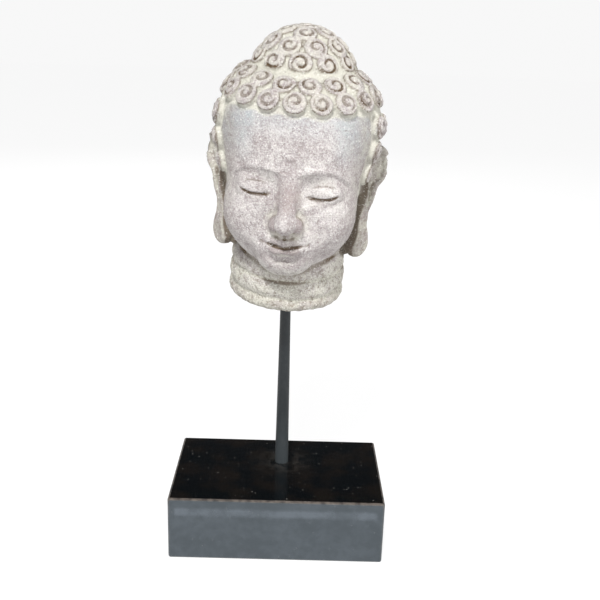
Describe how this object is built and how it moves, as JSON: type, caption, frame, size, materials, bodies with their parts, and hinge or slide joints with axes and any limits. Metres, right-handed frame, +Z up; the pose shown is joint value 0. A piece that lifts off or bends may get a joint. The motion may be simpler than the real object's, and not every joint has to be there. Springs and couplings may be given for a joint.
{
  "type": "stone buddha head on stand",
  "caption": "Carved stone Buddha head with small coiled curls, long ears and closed eyes, held on a tapered black rod over a black rectangular block.",
  "frame": {"origin": "middle of the base block's underside", "axes": "+Z up, +X to the viewer's right, and the face looks along -Y, turned slightly to the viewer's left"},
  "size_m": [0.16, 0.1316, 0.3846],
  "materials": {
    "carved_stone": "weathered, mauve grey with a pale mineral wash in the recesses",
    "black_rod": "satin black",
    "black_block": "black gloss lacquer, slightly dusty and rubbed at the edges"
  },
  "bodies": {
    "root": {"head": "carved_stone", "rod": "black_rod", "base": "black_block"}
  },
  "joints": []
}
